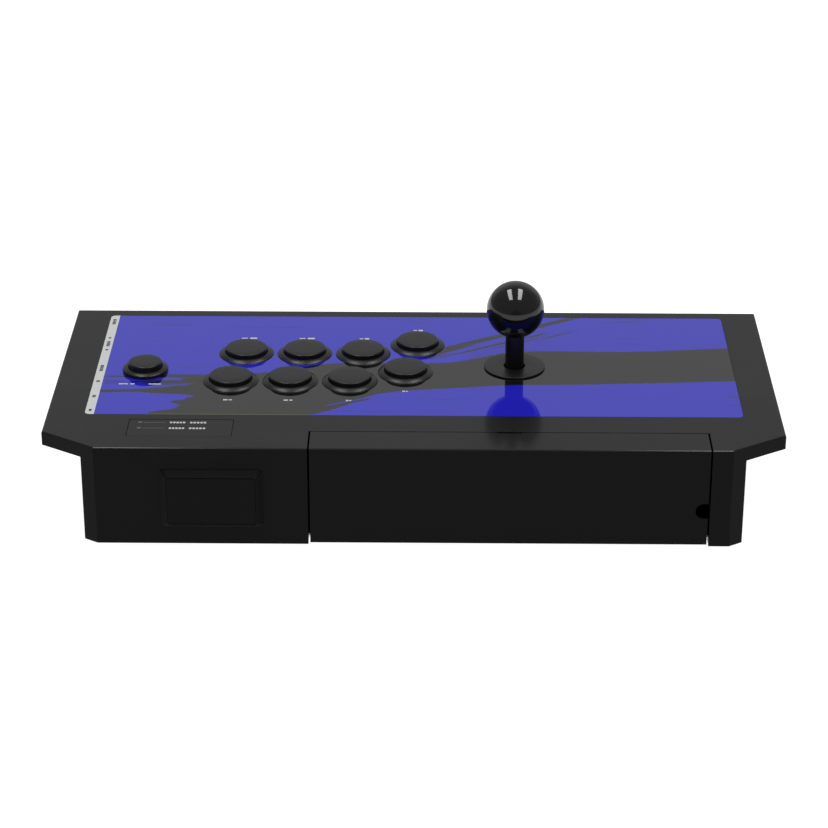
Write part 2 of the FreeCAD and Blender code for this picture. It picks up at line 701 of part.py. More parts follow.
def button_housing(flange, cap, ring, rim, hole):
    """Barrel of a push button, with its sloping ring, its floor and the switch's cradle."""
    bore = "%s + 0.25" % cap
    middle = "(%s + %s) / 2" % (bore, flange)
    body = turned([(bore, "%s - 0.2" % ring), (bore, "-14"), ("0", "-14"), ("0", "-18"),
                   ("%s - 0.2" % hole, "-18"), ("%s - 0.2" % hole, "0.05"),
                   (flange, "0.05"), (flange, "%s - 0.1" % rim),
                   (flange + " - 0.25", "%s + 0.1" % rim), (middle, "%s * 0.72 + %s * 0.28" % (ring, rim)),
                   ("%s + 0.3" % bore, ring)])
    cradle = box(("-5", "-11.6", "-29"), ("5", "11.6", "-17"))
    cavity = box(("-3.35", "-10.3", "-30"), ("3.35", "10.3", "-20.6"))
    stem_hole = cylinder("2.6", "20", ("0", "0", "-25"))
    slots = [box((low, "-2.3", "-19"), (high, "2.3", "-13")) for low, high in leg_spans(cap, "0.4")]
    shoulders = [box((low, "-2.6", "-30"), (high, "2.6", "-18"))
                 for low, high in (("-11", "-5"), ("5", "11"))]
    return cut(fuse(body, cradle), cavity, stem_hole, *(slots + shoulders))


def leg_spans(cap, ease):
    """The two X spans that a plunger's snap legs take up."""
    outer = "%s - 1.6 + %s" % (cap, ease)
    inner = "%s - 4.4 - %s" % (cap, ease)
    return [("-(%s)" % outer, "-(%s)" % inner), (inner, outer)]


def plunger(cap, rise):
    """Button plunger: crowned cap, stem, and two legs that hook under the floor."""
    body = turned([("0", "%s - 1.6" % rise), ("0", rise), ("%s * 0.6" % cap, "%s - 0.07" % rise),
                   ("%s - 0.35" % cap, "%s - 0.25" % rise), (cap, "%s - 0.6" % rise), (cap, "-8"),
                   ("%s - 1.8" % cap, "-8"), ("%s - 1.8" % cap, "%s - 2.4" % rise),
                   ("2.2", "%s - 2.4" % rise), ("2.2", "-17.4"), ("0", "-17.4")])
    legs = []
    for low, high in leg_spans(cap, "0"):
        legs.append(box((low, "-1.9", "-19.6"), (high, "1.9", "-7")))
    slit = [box(("-(%s - 3.4)" % cap, "-3", "-25"), ("-2.4", "3", "-7.5")),
            box(("2.4", "-3", "-25"), ("%s - 3.4" % cap, "3", "-7.5"))]
    return cut(fuse(body, *legs), *slit)


def button_switch():
    """Microswitch held in the cradle, with its two tabs."""
    body = box(("-3.2", "-10.2", "-32"), ("3.2", "10.2", "-20.7"))
    nib = box(("-0.8", "-1.5", "-20.8"), ("0.8", "1.5", "-20.2"))
    tabs = [box(("-0.25", y, "-37"), ("0.25", y + " + 4.7", "-31.5")) for y in ("-8", "3.3")]
    return fuse(body, nib, *tabs)


def make_buttons():
    """The eight main buttons and the small one."""
    places = [(x, y, "panel_top") for x, y in BUTTONS.values()]
    housing = button_housing("button_flange", "button_cap", "button_ring_rise", "button_ring_edge",
                             "button_hole")
    piece("button_housings", copies(housing, places))
    piece("button_switches", copies(button_switch(), places))
    for label, (x, y) in BUTTONS.items():
        piece(label, plunger("button_cap", "button_cap_rise"), x, y, "panel_top")
    small = ("small_button_x", "small_button_y", "panel_top")
    small_housing = button_housing("small_flange", "small_cap", "small_ring_rise", "small_ring_edge",
                                   "small_hole")
    piece("options_housing", small_housing, *small)
    piece("options_switch", button_switch(), *small)
    piece("options_button", plunger("small_cap", "small_cap_rise"), *small)


# ---- lever -------------------------------------------------------------------------

def lever_bolts():
    return [("lever_x + %s" % x, "lever_y + %s" % y) for x in ("-20", "20") for y in ("-42", "42")]


def lever_part(label, item):
    """A lever piece, drawn about the pivot's centre."""
    piece(label, item, "lever_x", "lever_y", PIVOT)


PLATE_LOW = "pivot_depth - film_thick - steel_thick - 1.6"
GATE_TOP = "-27.9"


def make_lever_mount():
    """Mounting plate, pivot housing, gate, switches and board of the lever."""
    sheet = box(("-26.5", "-47.5", PLATE_LOW), ("26.5", "47.5", PLATE_LOW + " + 1.6"))
    holes = [cylinder("2.1", "8", (x, y, PLATE_LOW + " - 2")) for x in ("-20", "20") for y in ("-42", "42")]
    lever_part("lever_plate", cut(sheet, cylinder("14", "8", ("0", "0", PLATE_LOW + " - 2")), *holes))
    half = "housing_size / 2"
    block = box(("-(%s)" % half, "-(%s)" % half, GATE_TOP), (half, half, PLATE_LOW))
    cavity = box(("3 - " + half, "3 - " + half, GATE_TOP + " - 1"), (half + " - 3", half + " - 3", "-10"))
    seat = sphere("bush_radius + 0.3", ("0", "0", "0"))
    above = cone("8", "14", PLATE_LOW + " - 3", ("0", "0", "3.5"))
    below = cone("15", "7.6", "7", ("0", "0", "-10.5"))
    lever_part("lever_housing", cut(block, cavity, seat, above, below))
    screw = fuse(cylinder("1.95", "3.0", ("0", "0", "-1.6")), cylinder("3.5", "2.2", ("0", "0", "-3.8")))
    lever_screws = copies(screw, [(x, y, STEEL_UNDER) for x, y in lever_bolts()])
    piece("lever_screws", lever_screws)
    gate = box(("-(%s)" % half, "-(%s)" % half, GATE_TOP + " - 4"), (half, half, GATE_TOP))
    window = box(("-13.4", "-13.4", "-40"), ("13.4", "13.4", "-20"))
    lever_part("lever_gate", cut(gate, window))


def make_lever_switches():
    """Four microswitches around the actuator, on a board with a five-pin plug."""
    switches = []
    for reach, along in (("14.8", "y"), ("-21.2", "y"), ("14.8", "x"), ("-21.2", "x")):
        if along == "y":
            body = box((reach, "-10", "-23"), (reach + " + 6.4", "10", "-13"))
        else:
            body = box(("-10", reach, "-23"), ("10", reach + " + 6.4", "-13"))
        switches.append(body)
    for reach in ("13.6", "-14.0"):
        switches.append(box((reach, "-8", "-19"), (reach + " + 0.4", "8", "-15")))
        switches.append(box(("-8", reach, "-19"), ("8", reach + " + 0.4", "-15")))
    for near, far in (("13.9", "14.9"), ("-14.9", "-13.9")):
        switches.append(box((near, "6", "-19"), (far, "8", "-15")))
        switches.append(box(("6", near, "-19"), ("8", far, "-15")))
    lever_part("lever_microswitches", fuse(*switches))
    board = box(("-28", "-28", "-24.6"), ("28", "28", "-23"))
    window = box(("-14", "-14", "-30"), ("14", "14", "-20"))
    plug = box(("-8", "21.6", "-23.1"), ("8", "28", "-17"))
    lever_part("lever_board", fuse(cut(board, window), plug))


def make_lever_moving():
    """Bush, actuator, spring, shaft, shaft cover, ball top and washers."""
    ball_bush = DOC.addObject("Part::Common", "bush_ball")
    ball_bush.Base = sphere("bush_radius", ("0", "0", "0"))
    ball_bush.Tool = cylinder("20", "12", ("0", "0", "-6"))
    slot = box(("-6.2", "-shaft_radius - 0.08", "-10"), ("6.2", "shaft_radius + 0.08", "10"))
    lever_part("pivot_bush", cut(ball_bush, slot))
    lever_part("actuator", turned([("shaft_radius + 0.06", "-27"), ("actuator_radius - 0.8", "-27"),
                                   ("actuator_radius", "-26.2"), ("actuator_radius", "-15"),
                                   ("actuator_radius - 1.5", "-14"), ("shaft_radius + 0.06", "-14")]))
    lever_part("return_spring", coil_spring("6.2", "0.45", "-13.4", "-7.6", 5))
    tip = "pivot_depth + ball_rise"
    shaft = turned([("0", "-30"), ("shaft_radius", "-30"), ("shaft_radius", "-28.6"),
                    ("shaft_radius - 1", "-28.6"), ("shaft_radius - 1", "-27.4"),
                    ("shaft_radius", "-27.4"), ("shaft_radius", "%s - 12" % tip), ("3", "%s - 12" % tip),
                    ("3", "%s + 5" % tip), ("0", "%s + 5" % tip)])
    lever_part("lever_shaft", shaft)
    lever_part("retaining_clip", cut(cylinder("6.6", "0.8", ("0", "0", "-28.4")),
                                     cylinder("shaft_radius - 0.95", "4", ("0", "0", "-30"))))
    cover_top = "%s - 16.6" % tip
    lever_part("shaft_cover", turned([("shaft_radius + 0.08", "11"), ("cover_radius", "11"),
                                      ("cover_radius", cover_top), ("shaft_radius + 0.08", cover_top)]))
    ball = sphere("ball_radius", ("0", "0", tip))
    flat = cylinder("20", "6", ("0", "0", "%s - 22.5" % tip))
    bore = cylinder("3.02", "30", ("0", "0", "%s - 24.9" % tip))
    socket = cylinder("shaft_radius + 0.03", "11", ("0", "0", "%s - 23" % tip))
    lever_part("ball_top", cut(ball, flat, bore, socket))
    gap = "cover_radius + washer_gap"
    low = "pivot_depth + 0.1"
    lever_part("dust_washer", turned([(gap, low), ("washer_radius", low),
                                      ("washer_radius", low + " + washer_thick * 0.6"),
                                      ("washer_radius - 0.5", low + " + washer_thick"),
                                      (gap, low + " + washer_thick")]))
    under = STEEL_UNDER + " - (%s)" % PIVOT
    disc = cylinder("11", "0.8", ("0", "0", under + " - 1.2"))
    side = gap + " + 0.7"
    hole = [box(("-(%s)" % side, "-2.3", under + " - 3"), (side, "2.3", under + " + 3"))]
    for y in ("-2.3", "2.3"):
        hole.append(cylinder(side, "6", ("0", y, under + " - 3")))
    lever_part("lower_dust_washer", cut(disc, *hole))


def coil_spring(radius, wire, low, high, turns):
    """Round wire swept along a helix."""
    height = number(high) - number(low)
    helix = Part.makeHelix(height / turns, height, number(radius))
    start = FreeCAD.Vector(number(radius), 0, 0)
    section = Part.Wire(Part.makeCircle(number(wire), start, FreeCAD.Vector(0, 1, 0)))
    shape = Part.Wire(helix.Edges).makePipeShell([section], True, True)
    shape.translate(FreeCAD.Vector(0, 0, number(low)))
    item = DOC.addObject("Part::Feature", "spring")
    item.Shape = Part.makeCompound([shape])
    return item


# ---- electronics -------------------------------------------------------------------

def make_main_board():
    """Main circuit board on four pillars of the base, with its chips and plugs."""
    left, right, front, rear = "70", "158", "20", "54"
    level = "base_thick + 6"
    board = box((left, front, level), (right, rear, level + " + 1.6"))
    chips = [box(("86", "30", level + " + 1"), ("100", "44", level + " + 3.4")),
             box(("116", "26", level + " + 1"), ("138", "32", level + " + 7")),
             box(("116", "42", level + " + 1"), ("138", "48", level + " + 7")),
             box(("145", "31", level + " + 1"), ("153", "43", level + " + 5"))]
    corners = [(x, y) for x in ("74", "154") for y in ("24", "50")]
    holes = [cylinder("1.6", "10", (x, y, level + " - 3")) for x, y in corners]
    piece("main_board", cut(fuse(board, *chips), *holes))
    pillar = cut(cylinder("3.4", "6", ("0", "0", "0")), cylinder("1.3", "5", ("0", "0", "2")))
    piece("board_pillars", copies(pillar, [(x, y, "base_thick") for x, y in corners]))
    screw = fuse(cylinder("1.25", "5.6", ("0", "0", "-4")), cylinder("2.8", "1.5", ("0", "0", "1.6")))
    piece("board_screws", copies(screw, [(x, y, level) for x, y in corners]))


# ---- build, test and write ---------------------------------------------------------

def write_pieces():
    """Check every object, then write each sub-part as a STEP file."""
    DOC.recompute()
    for item in DOC.Objects:
        for state in item.State:
            if state in ("Invalid", "Error"):
                raise RuntimeError("%s (%s) is %s" % (item.Name, item.Label, state))
    for item in PIECES:
        if item.Shape.isNull() or not item.Shape.isValid() or not item.Shape.Solids:
            raise RuntimeError("%s has no valid solid" % item.Label)
    os.makedirs("parts", exist_ok=True)
    for item in PIECES:
        item.Shape.exportStep("parts/%s.step" % item.Label)
        print("%-22s %2d solids %10.1f mm3" % (item.Label, len(item.Shape.Solids), item.Shape.Volume))
    print(len(PIECES), "pieces")


make_top_shell()
make_lower_case()
make_base_cover()
make_feet()
make_base_screws()
make_control_plate()
make_artwork()
make_cable_bin()
make_bay_cheeks()
make_grommet()
make_latch_catch()
make_door()
make_hinge_pins()
make_touchpad()
make_window()
make_side_panel()
make_buttons()
make_lever_mount()
make_lever_switches()
make_lever_moving()
make_main_board()
write_pieces()
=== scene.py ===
import bmesh
import bpy
import math
from mathutils import Matrix, Vector


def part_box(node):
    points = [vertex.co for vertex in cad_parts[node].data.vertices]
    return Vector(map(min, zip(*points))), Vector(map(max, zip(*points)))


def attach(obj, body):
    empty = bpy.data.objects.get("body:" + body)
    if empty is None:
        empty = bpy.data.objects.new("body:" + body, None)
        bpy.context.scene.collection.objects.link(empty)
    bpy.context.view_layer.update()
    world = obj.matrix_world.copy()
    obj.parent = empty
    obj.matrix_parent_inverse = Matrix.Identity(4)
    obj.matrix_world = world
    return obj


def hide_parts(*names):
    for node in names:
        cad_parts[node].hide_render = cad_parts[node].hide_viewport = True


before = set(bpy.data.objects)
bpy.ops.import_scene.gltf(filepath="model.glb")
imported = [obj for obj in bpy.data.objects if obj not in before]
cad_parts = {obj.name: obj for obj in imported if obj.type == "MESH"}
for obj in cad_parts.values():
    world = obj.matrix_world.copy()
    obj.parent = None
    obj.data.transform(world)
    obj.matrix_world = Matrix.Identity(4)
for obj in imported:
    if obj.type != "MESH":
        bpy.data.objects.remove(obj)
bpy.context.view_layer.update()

# ---- The view ----------------------------------------------------------------------
# The panel as a shop shows it: from behind and above, with a long lens, on a pale floor
# under two long soft boxes. The helpers that every finish is written with are here too.
MM = 0.001
scene = bpy.context.scene
scene.view_settings.view_transform = "Standard"

CAMERA_PLACE = Vector((-12.6, 1454.5, 743.3)) * MM
CAMERA_DOWN = math.radians(25.78)
CAMERA_TURN = math.radians(0.51)
CAMERA_ROLL = math.radians(0.10)
LENS, SENSOR, FAR_CLIP = 115.2, 36.0, 50.0

ahead = Vector((math.sin(CAMERA_TURN) * math.cos(CAMERA_DOWN),
                -math.cos(CAMERA_TURN) * math.cos(CAMERA_DOWN), -math.sin(CAMERA_DOWN)))
level = ahead.cross(Vector((0, 0, 1))).normalized()
upward = level.cross(ahead)
right = level * math.cos(CAMERA_ROLL) + upward * math.sin(CAMERA_ROLL)
upward = right.cross(ahead)
camera_data = bpy.data.cameras.new("camera")
camera_data.lens = LENS
camera_data.sensor_width = SENSOR
camera_data.clip_end = FAR_CLIP
camera = bpy.data.objects.new("camera", camera_data)
camera_axes = Matrix((right, upward, -ahead)).transposed().to_4x4()
camera.matrix_world = Matrix.Translation(CAMERA_PLACE) @ camera_axes
scene.collection.objects.link(camera)
scene.camera = camera


class Field:
    """A value that varies over a surface. Arithmetic on it adds Math nodes."""

    def __init__(self, finish, socket):
        self.finish = finish
        self.socket = socket

    def math(self, operation, *terms):
        return self.finish.node("ShaderNodeMath", {"operation": operation}, *terms)

    def __add__(self, other):
        return self.math("ADD", self, other)

    def __sub__(self, other):
        return self.math("SUBTRACT", self, other)

    def __rsub__(self, other):
        return self.math("SUBTRACT", other, self)

    def __mul__(self, other):
        return self.math("MULTIPLY", self, other)

    def __truediv__(self, other):
        return self.math("DIVIDE", self, other)

    __radd__ = __add__
    __rmul__ = __mul__

    def __or__(self, other):
        return self.math("MAXIMUM", self, other)

    def __and__(self, other):
        return self.math("MINIMUM", self, other)

    def rises(self, start, stop):
        """0 below start, 1 above stop, smooth between."""
        settings = {"interpolation_type": "SMOOTHSTEP"}
        return self.finish.node("ShaderNodeMapRange", settings, self, start, stop, 0.0, 1.0)

    def within(self, low, high, blur):
        """1 between two limits, 0 outside them, with soft edges."""
        return self.rises(low - blur, low + blur) * (1 - self.rises(high - blur, high + blur))


class Finish:
    """One procedural material, or the world. node() adds any node and returns its output."""

    def __init__(self, name, room=None, **shader):
        self.material = room or bpy.data.materials.new(name)
        self.material.use_nodes = True
        self.tree = self.material.node_tree
        self.shader = self.tree.nodes["Background" if room else "Principled BSDF"]
        for socket, value in shader.items():
            self.shader.inputs[socket.replace("_", " ")].default_value = value

    def node(self, kind, settings, *values, out=0, **named):
        item = self.tree.nodes.new(kind)
        for key, value in settings.items():
            if key == "stops":
                ramp = item.color_ramp.elements
                while len(ramp) < len(value):
                    ramp.new(0.5)
                for stop, (position, colour) in zip(ramp, value):
                    stop.position = position
                    stop.color = (*colour, 1.0)
            elif key == "points":
                curve = item.mapping.curves[0]
                while len(curve.points) < len(value):
                    curve.points.new(0.5, 0.5)
                for point, place in zip(curve.points, value):
                    point.location = place
                    point.handle_type = "AUTO"
                item.mapping.update()
            else:
                setattr(item, key, value)
        open_inputs = [socket for socket in item.inputs if socket.enabled]
        settled = list(zip(open_inputs, values))
        settled += [(item.inputs[key], value) for key, value in named.items()]
        for socket, value in settled:
            if isinstance(value, Field):
                self.tree.links.new(value.socket, socket)
            else:
                socket.default_value = value
        return Field(self, item.outputs[out])

    def drive(self, socket, value):
        self.tree.links.new(value.socket, self.shader.inputs[socket])

    def parts(self, vector):
        """The three parts of a vector."""
        item = self.tree.nodes.new("ShaderNodeSeparateXYZ")
        self.tree.links.new(vector.socket, item.inputs[0])
        return [Field(self, item.outputs[axis]) for axis in range(3)]

    def place(self):
        """Where the point is on the object, in metres."""
        return self.node("ShaderNodeTexCoord", {}, out=3)

    def noise(self, spot, scale, detail=2.0, rough=0.5):
        """Soft lumps between 0 and 1, with about scale of them in a metre."""
        return self.node("ShaderNodeTexNoise", {}, Vector=spot, Scale=scale, Detail=detail,
                         Roughness=rough)

    def stretched(self, spot, scale):
        """The place, scaled apart on each axis."""
        return self.node("ShaderNodeVectorMath", {"operation": "MULTIPLY"}, spot, scale)

    def mix(self, factor, low, high):
        """A colour between two others."""
        settings = {"data_type": "RGBA"}
        low = low if isinstance(low, Field) else (*low, 1.0)
        high = high if isinstance(high, Field) else (*high, 1.0)
        return self.node("ShaderNodeMix", settings, factor, low, high, out=2)

    def bump(self, height, distance, strength):
        """A relief that is distance deep, in metres."""
        return self.node("ShaderNodeBump", {}, Height=height, Distance=distance, Strength=strength)


# The room: grey walls, a paler one in front of the panel from its level upward, and a dim
# patch behind the camera. A gaze points back along the ray that left the surface.
WHITE = (1.0, 1.0, 1.0, 1.0)
WALLS, FRONT_WALL, BEHIND_CAMERA = 0.30, 0.30, -0.12
FRONT_SPREAD, UPWARD_SPREAD, BEHIND_SPREAD = (0.45, 0.80), (-0.05, 0.25), (0.90, 0.97)
world = bpy.data.worlds.new("studio")
scene.world = world
room = Finish("studio", world, Color=WHITE)
gaze = room.parts(room.node("ShaderNodeNewGeometry", {}, out=4))
front_wall = gaze[1].rises(*FRONT_SPREAD) * (gaze[2] * -1.0).rises(*UPWARD_SPREAD)
behind = (gaze[1] * -1.0).rises(*BEHIND_SPREAD)
room.drive("Strength", front_wall * FRONT_WALL + behind * BEHIND_CAMERA + WALLS)

# Two equal soft boxes hang on either side of the panel and face straight down.
BOX_MIDDLE, BOX_APART = Vector((0.015, 0.03, 1.7)), Vector((0.5, 0, 0))
BOX_WIDTH, BOX_LENGTH, BOX_WATTS = 0.41, 1.54, 20.0
for name, side in (("box_left", 1), ("box_right", -1)):
    box_light = bpy.data.lights.new(name, "AREA")
    box_light.shape = "RECTANGLE"
    box_light.size, box_light.size_y = BOX_WIDTH, BOX_LENGTH
    box_light.energy = BOX_WATTS
    lamp = bpy.data.objects.new(name, box_light)
    lamp.location = BOX_MIDDLE + BOX_APART * side
    scene.collection.objects.link(lamp)


# ---- Floor -------------------------------------------------------------------------
# A plain pale sheet of paper, much wider than the view, lit enough to vanish into white.
# It is the stage, not part of the panel.
FLOOR_HALF = 6.0
FLOOR_DULL, FLOOR_PALE = (0.20, 0.20, 0.20), (0.22, 0.22, 0.22)
floor_finish = Finish("pale_floor", Roughness=0.9, Specular_IOR_Level=0.0,
                      Emission_Color=WHITE, Emission_Strength=1.0)
clouding = floor_finish.noise(floor_finish.place(), 3.0)
floor_finish.drive("Base Color", floor_finish.mix(clouding, FLOOR_DULL, FLOOR_PALE))
floor_mesh = bpy.data.meshes.new("floor")
corners = [(side * FLOOR_HALF, end * FLOOR_HALF, 0)
           for side, end in ((-1, -1), (1, -1), (1, 1), (-1, 1))]
floor_mesh.from_pydata(corners, [], [(0, 1, 2, 3)])
floor = bpy.data.objects.new("floor", floor_mesh)
floor_mesh.materials.append(floor_finish.material)
scene.collection.objects.link(floor)


# ---- Upper moulding ----------------------------------------------------------------
# top_shell: one injection-moulded black ABS panel. Its outside has a fine spark-eroded
# grain that looks matt face on and turns silky at a low angle; handling polishes it.
SHINE, SHINE_CLOUDS, SHINE_EDGE = 0.34, 0.06, 0.1 * MM
POLISHED_DEPTH = 0.9 * MM
panel_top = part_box("top_shell")[1][2]


def paint(finish, *nodes):
    """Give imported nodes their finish."""
    for name in nodes:
        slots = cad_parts[name].data.materials
        if len(slots) == 0:
            slots.append(finish.material)
        for index in range(len(slots)):
            slots[index] = finish.material


def grained_plastic(name, colours, grain, depth, rough, polished=None, **shader):
    """Moulded plastic: fine eroded grain, faint clouding, rubbed patches. Above the height
    polished, in metres, hands have polished it to a thin shine."""
    finish = Finish(name, **shader)
    rubbed_rough, plain_rough = rough
    spot = finish.place()
    fine = finish.noise(spot, 1.0 / grain, 2.0, 0.6)
    cloud = finish.noise(spot, 9.0, 3.0)
    rubbed = finish.noise(spot, 28.0, 4.0, 0.6).rises(0.45, 0.75)
    smoother = rubbed * (plain_rough - rubbed_rough)
    finish.drive("Base Color", finish.mix(cloud * 0.7 + fine * 0.3, *colours))
    finish.drive("Roughness", plain_rough - smoother + fine * 0.04)
    finish.drive("Normal", finish.bump(fine, depth, 0.5))
    if polished:
        above = (finish.parts(spot)[2] - polished).rises(-SHINE_EDGE, SHINE_EDGE)
        finish.drive("Coat Weight", above * (SHINE + cloud * SHINE_CLOUDS))
    return finish


black_plastic = grained_plastic(
    "black_plastic", ((0.0034, 0.0034, 0.0037), (0.0048, 0.0048, 0.0051)), 0.45 * MM, 0.03 * MM,
    (0.38, 0.45), polished=panel_top - POLISHED_DEPTH, Specular_IOR_Level=0.06, Coat_Roughness=0.14)
paint(black_plastic, "top_shell")


# ---- Lower moulding ----------------------------------------------------------------
# lower_case, the cable door and its bin, the side panel and the pad's frame: the same
# grained plastic, which nobody's hands polish on the upright faces.
paint(black_plastic, "lower_case", "base_cover", "cable_door", "cable_bin", "bay_cheeks",
      "latch_catch", "board_pillars", "side_panel", "touchpad_frame")


# ---- Control plate and small steel -------------------------------------------------
# The plate under the film and the small fixings are rolled, zinc-plated steel. The
# lever's shaft, the hinge pins, the spring and the clip are bright drawn steel.
WORN_METAL = 0.82


def brushed_metal(name, colour, lines, rough):
    """Bare metal with fine lines, lines of them to the metre along each axis."""
    finish = Finish(name, Metallic=1.0)
    spot = finish.place()
    grain = finish.noise(finish.stretched(spot, lines), 1.0, 3.0)
    spangle = finish.noise(spot, 90.0, 2.0)
    dull = tuple(part * WORN_METAL for part in colour)
    finish.drive("Base Color", finish.mix(spangle, colour, dull))
    finish.drive("Roughness", rough + grain * 0.18)
    finish.drive("Normal", finish.bump(grain, 0.01 * MM, 0.4))
    return finish


zinc_steel = brushed_metal("zinc_steel", (0.58, 0.59, 0.60), (60.0, 2500.0, 2500.0), 0.28)
steel_rod = brushed_metal("steel_rod", (0.70, 0.70, 0.72), (3000.0, 3000.0, 60.0), 0.12)
paint(zinc_steel, "control_plate", "base_screws", "lever_plate", "lever_screws", "board_screws")
paint(steel_rod, "lever_shaft", "retaining_clip", "return_spring", "door_hinge_pins")


# ---- Hidden works ------------------------------------------------------------------
# Moulded nylon for what slides, black glass-filled plastic for the switches and their
# housing, soft rubber for the feet and the lead's inlet, and green circuit boards.
TRACKS_PER_METRE = 240.0
nylon = grained_plastic("nylon", ((0.60, 0.59, 0.54), (0.66, 0.65, 0.60)), 0.8 * MM, 0.03 * MM,
                        (0.35, 0.5), Subsurface_Weight=0.1)
mechanism = grained_plastic("mechanism_plastic", ((0.016, 0.016, 0.017), (0.024, 0.024, 0.025)),
                            0.5 * MM, 0.03 * MM, (0.38, 0.5))
rubber = grained_plastic("rubber", ((0.012, 0.012, 0.012), (0.020, 0.020, 0.019)), 0.7 * MM,
                         0.06 * MM, (0.72, 0.85), Specular_IOR_Level=0.25)
paint(nylon, "pivot_bush", "actuator", "lever_gate")
paint(mechanism, "button_switches", "options_switch", "lever_housing", "lever_microswitches")
paint(rubber, "rubber_feet", "cable_grommet")


def circuit_board():
    """Green solder mask over copper tracks."""
    finish = Finish("circuit_board", Coat_Weight=0.3)
    spot = finish.place()
    tracks = finish.node("ShaderNodeTexVoronoi", {"feature": "DISTANCE_TO_EDGE"}, Vector=spot,
                         Scale=TRACKS_PER_METRE)
    copper = 1 - tracks.rises(0.06, 0.11)
    finish.drive("Base Color", finish.mix(copper, (0.010, 0.075, 0.030), (0.022, 0.16, 0.065)))
    finish.drive("Roughness", 0.34 + finish.noise(spot, 400.0) * 0.12)
    finish.drive("Normal", finish.bump(copper, 0.035 * MM, 0.6))
    return finish


paint(circuit_board(), "main_board", "side_board", "lever_board", "touchpad_board")


# ---- Artwork film ------------------------------------------------------------------
# artwork_sheet: polyester film, printed on its underside and glossy on top. Charcoal
# strokes of a wide dry brush cross a blue-violet ground, and a pale strip at the
# player's right names the side controls. Its lengths are in millimetres.
FILM_BLUE, FILM_BLUE_CLOUD = (0.010, 0.0095, 0.305), (0.020, 0.019, 0.30)
FILM_INK, FILM_REAR_EDGE_OLIVE = (0.0040, 0.0040, 0.0036), (0.055, 0.055, 0.030)
FILM_PALE, PALE_CLOUD = (0.40, 0.41, 0.40), 0.94
STRIP_WIDTH = 5.5
# the artwork is set out from a line just ahead of the panel's middle
ART_Y = -2.1
# the brush's edges and its dry end, as (to the right, to the rear) points
EDGE_REACH = 100.0
BRUSH_FRONT = [(-194, -44), (-130, -38), (-60, -36), (-20, -21), (48, -19), (85, -6), (131, 3.5),
               (194, 5)]
BRUSH_REAR = [(-194, 4), (-114, 9.5), (-57, 11.7), (-25, 15.7), (7, 20.7), (26, 27), (42, 42),
              (69, 56), (194, 60)]
END_FRONT, END_DEPTH, END_NEAR, END_REACH = -10.0, 70.0, 100.0, 100.0
BRUSH_END = [(118, -10), (128, 0), (140, 5), (132, 10), (150, 17), (168, 22), (158, 25),
             (133, 28.5), (136, 33), (144, 38), (139, 41), (140, 45), (149, 49), (157, 54),
             (158, 60)]
# how far the bristles wander from an edge, from a broad streak's, and at the dry end
BRISTLE_WANDER, END_WANDER = 5.0, 14.0
# the diagonal strokes' direction
SLANT_COS, SLANT_SIN = 0.86, 0.51
film_low, film_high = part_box("artwork_sheet")


